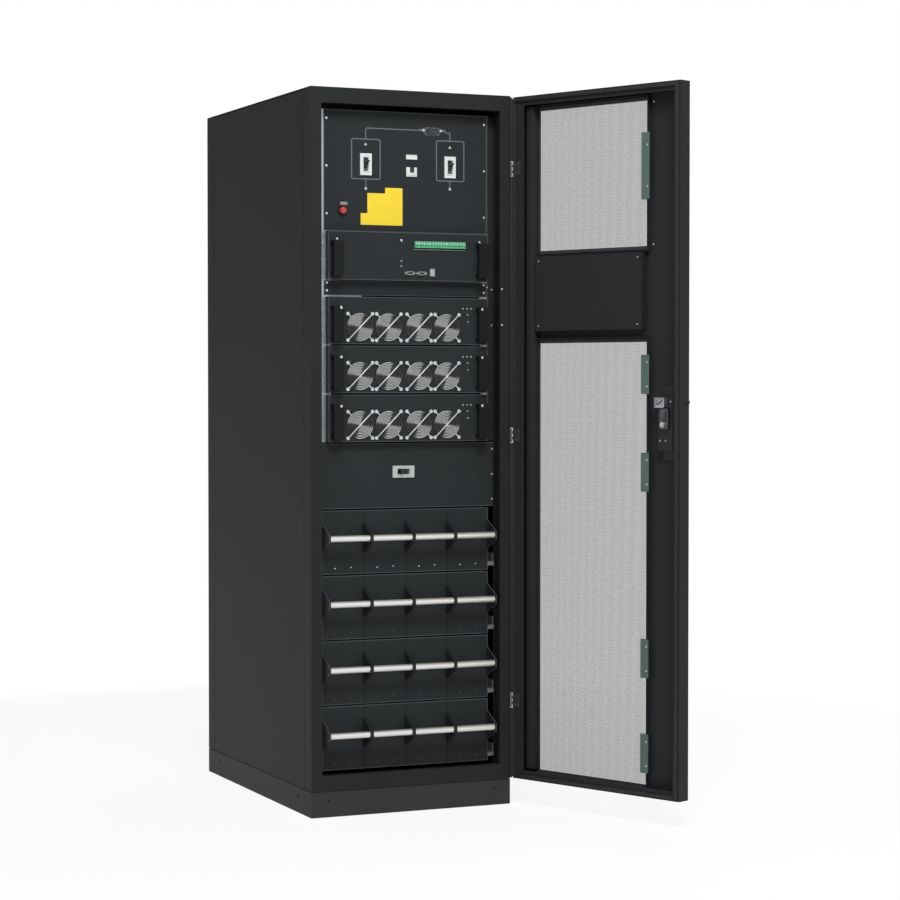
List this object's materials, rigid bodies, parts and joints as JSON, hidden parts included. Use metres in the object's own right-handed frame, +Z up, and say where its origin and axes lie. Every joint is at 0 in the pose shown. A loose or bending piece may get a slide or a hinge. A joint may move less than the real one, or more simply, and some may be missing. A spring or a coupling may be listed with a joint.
{
  "type": "modular ups cabinet",
  "caption": "Free-standing steel power cabinet with an open mesh door, a switch panel, plug-in power modules with fans, and battery trays with pull bars.",
  "frame": {"origin": "centre of the footprint on the floor", "axes": "+Z up, +Y from the front of the cabinet to its back, +X to the right seen from the front"},
  "size_m": [0.8752, 1.4529, 2],
  "materials": {
    "black_coat": "fine textured powder coat",
    "panel_coat": "matt powder coat",
    "zinc": "zinc plated sheet",
    "hinge_steel": "satin",
    "tray_coat": "plated sheet with a blue cast",
    "bar_metal": "satin",
    "latch_metal": "die cast, plated",
    "mesh_sheet": "perforated sheet",
    "clip_sheet": "passivated sheet",
    "white_plastic": "moulded",
    "black_plastic": "moulded",
    "red_plastic": "moulded",
    "green_plastic": "moulded",
    "yellow_plate": "printed plate"
  },
  "bodies": {
    "root": {"plinth": "black_coat", "floor_pan": "black_coat", "roof_panel": "black_coat", "front_posts": "black_coat", "rear_posts": "black_coat", "header": "black_coat", "sill": "black_coat", "left_side_panel": "black_coat", "right_side_panel": "black_coat", "rear_panel": "black_coat", "equipment_rails": "zinc", "tray_shelves": "zinc", "module_runners": "zinc", "switch_panel": "panel_coat", "breakers": "white_plastic", "instruction_plate": "yellow_plate", "bypass_module": "panel_coat", "terminal_strip": "green_plastic", "blank_panel": "panel_coat", "battery_panel": "panel_coat", "battery_breaker": "white_plastic", "cabinet_hinges": "hinge_steel"},
    "input_toggle": {"input_toggle": "black_plastic"},
    "bypass_toggle": {"bypass_toggle": "black_plastic"},
    "battery_toggle": {"battery_toggle": "black_plastic"},
    "emergency_button": {"emergency_button": "red_plastic"},
    "power_module_1": {"power_module_1_case": "panel_coat", "power_module_1_fans": "black_plastic"},
    "power_module_2": {"power_module_2_case": "panel_coat", "power_module_2_fans": "black_plastic"},
    "power_module_3": {"power_module_3_case": "panel_coat", "power_module_3_fans": "black_plastic"},
    "battery_tray_1": {"battery_tray_1_box": "tray_coat", "battery_tray_1_fronts": "panel_coat", "battery_tray_1_bars": "bar_metal"},
    "battery_tray_2": {"battery_tray_2_box": "tray_coat", "battery_tray_2_fronts": "panel_coat", "battery_tray_2_bars": "bar_metal"},
    "battery_tray_3": {"battery_tray_3_box": "tray_coat", "battery_tray_3_fronts": "panel_coat", "battery_tray_3_bars": "bar_metal"},
    "battery_tray_4": {"battery_tray_4_box": "tray_coat", "battery_tray_4_fronts": "panel_coat", "battery_tray_4_bars": "bar_metal"},
    "door": {"door_frame": "black_coat", "door_mesh": "mesh_sheet", "window_frames": "black_coat", "mesh_clips": "clip_sheet", "display_cover": "black_coat", "display": "black_plastic", "door_lock": "black_plastic", "door_hinges": "hinge_steel"},
    "latch": {"latch_handle": "latch_metal"}
  },
  "joints": [
    {"name": "door_swing", "type": "hinge", "parent": "root", "child": "door", "pos_m": [0.301, -0.454, 0], "axis": [0, 0, 1], "range_deg": [-113, 17]},
    {"name": "latch_turn", "type": "hinge", "parent": "door", "child": "latch", "pos_m": [0.55093, -0.9302, 1.081], "axis": [0.9205, 0.3907, 0], "range_deg": [0, 90]},
    {"name": "input_toggle_turn", "type": "hinge", "parent": "root", "child": "input_toggle", "pos_m": [-0.1215, -0.396, 1.797], "axis": [1, 0, 0], "range_deg": [0, 40]},
    {"name": "bypass_toggle_turn", "type": "hinge", "parent": "root", "child": "bypass_toggle", "pos_m": [0.1325, -0.396, 1.797], "axis": [1, 0, 0], "range_deg": [0, 40]},
    {"name": "battery_toggle_turn", "type": "hinge", "parent": "root", "child": "battery_toggle", "pos_m": [-0.0095, -0.396, 0.9455], "axis": [0, 0, 1], "range_deg": [0, 40]},
    {"name": "emergency_button_press", "type": "slide", "parent": "root", "child": "emergency_button", "axis": [0, 1, 0], "range_m": [0, 0.004], "stiffness_N_per_m": 600},
    {"name": "power_module_1_slide", "type": "slide", "parent": "root", "child": "power_module_1", "axis": [0, -1, 0], "range_m": [0, 0.4]},
    {"name": "power_module_2_slide", "type": "slide", "parent": "root", "child": "power_module_2", "axis": [0, -1, 0], "range_m": [0, 0.4]},
    {"name": "power_module_3_slide", "type": "slide", "parent": "root", "child": "power_module_3", "axis": [0, -1, 0], "range_m": [0, 0.4]},
    {"name": "battery_tray_1_slide", "type": "slide", "parent": "root", "child": "battery_tray_1", "axis": [0, -1, 0], "range_m": [0, 0.4]},
    {"name": "battery_tray_2_slide", "type": "slide", "parent": "root", "child": "battery_tray_2", "axis": [0, -1, 0], "range_m": [0, 0.4]},
    {"name": "battery_tray_3_slide", "type": "slide", "parent": "root", "child": "battery_tray_3", "axis": [0, -1, 0], "range_m": [0, 0.4]},
    {"name": "battery_tray_4_slide", "type": "slide", "parent": "root", "child": "battery_tray_4", "axis": [0, -1, 0], "range_m": [0, 0.4]}
  ]
}
